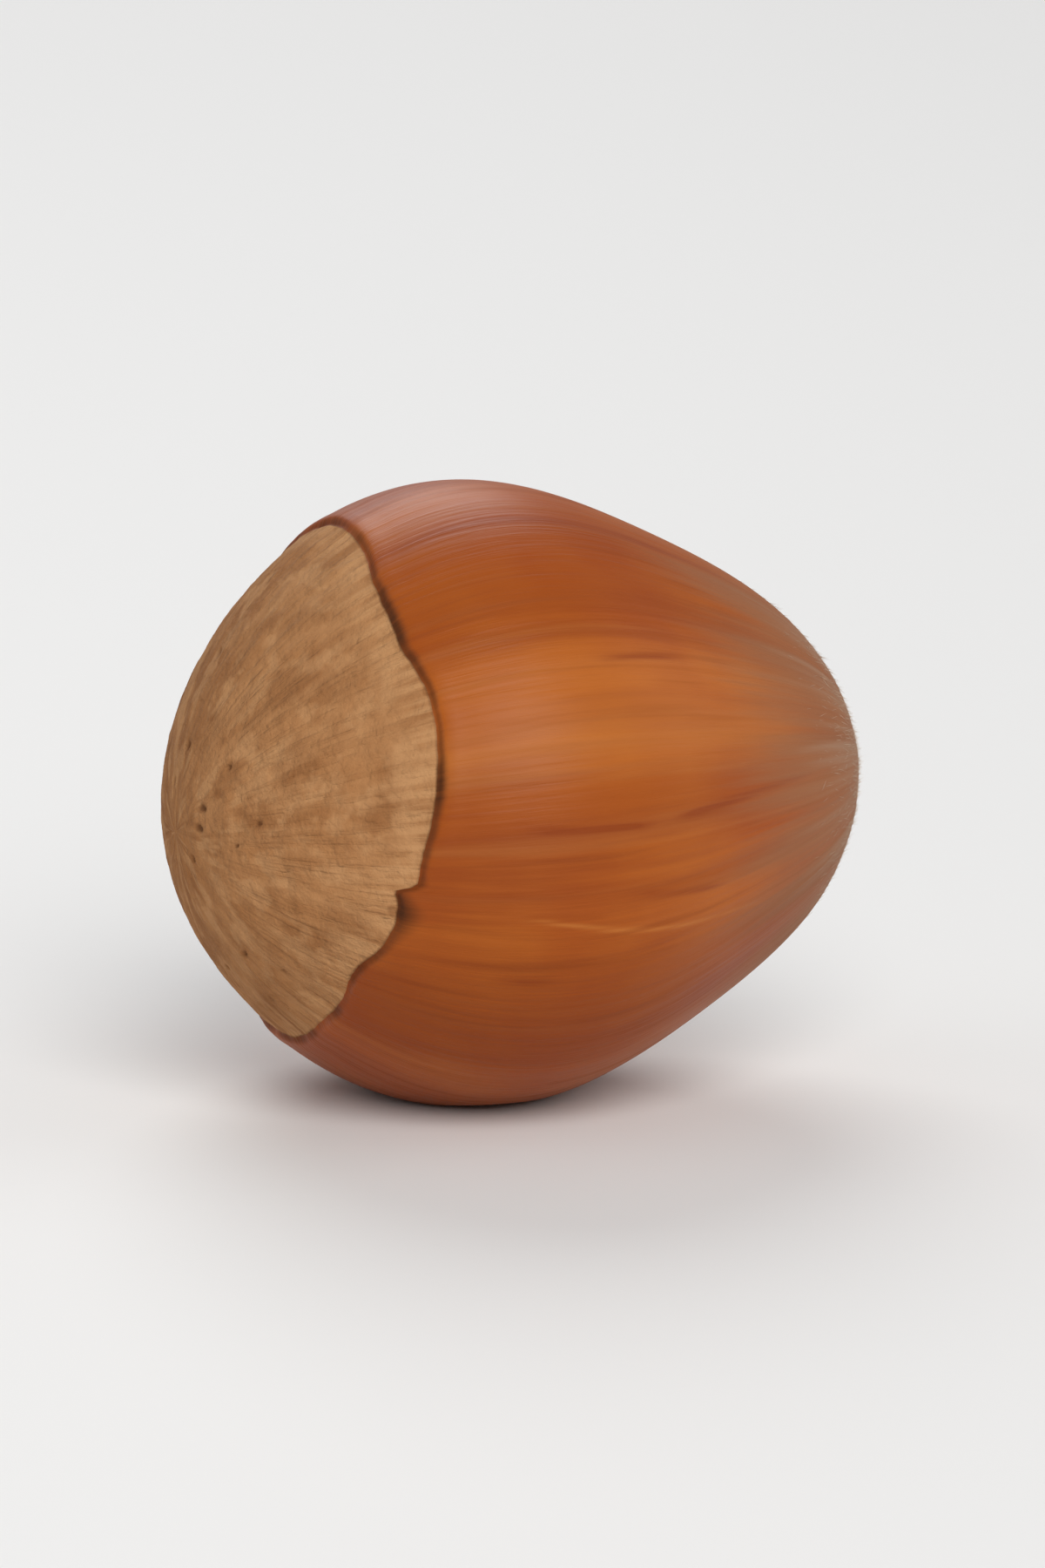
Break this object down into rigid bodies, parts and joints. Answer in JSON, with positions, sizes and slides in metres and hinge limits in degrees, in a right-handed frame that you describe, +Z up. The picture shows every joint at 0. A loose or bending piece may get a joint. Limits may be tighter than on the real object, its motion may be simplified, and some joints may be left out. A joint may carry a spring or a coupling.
{
  "type": "hazelnut",
  "caption": "Round hazelnut in its brown shell, lying on its side, with a pale rough base scar, a dark seam round it and a blunt downy tip.",
  "frame": {"origin": "on the plane the nut rests on, under the middle of its box", "axes": "+X from the base scar towards the tip, +Z up from the resting spot"},
  "size_m": [0.0208, 0.0184, 0.0174],
  "materials": {
    "nut_shell": "smooth woody shell with a soft gloss, dull on the pale base scar and on the downy tip"
  },
  "bodies": {
    "root": {"hazelnut": "nut_shell"}
  },
  "joints": []
}
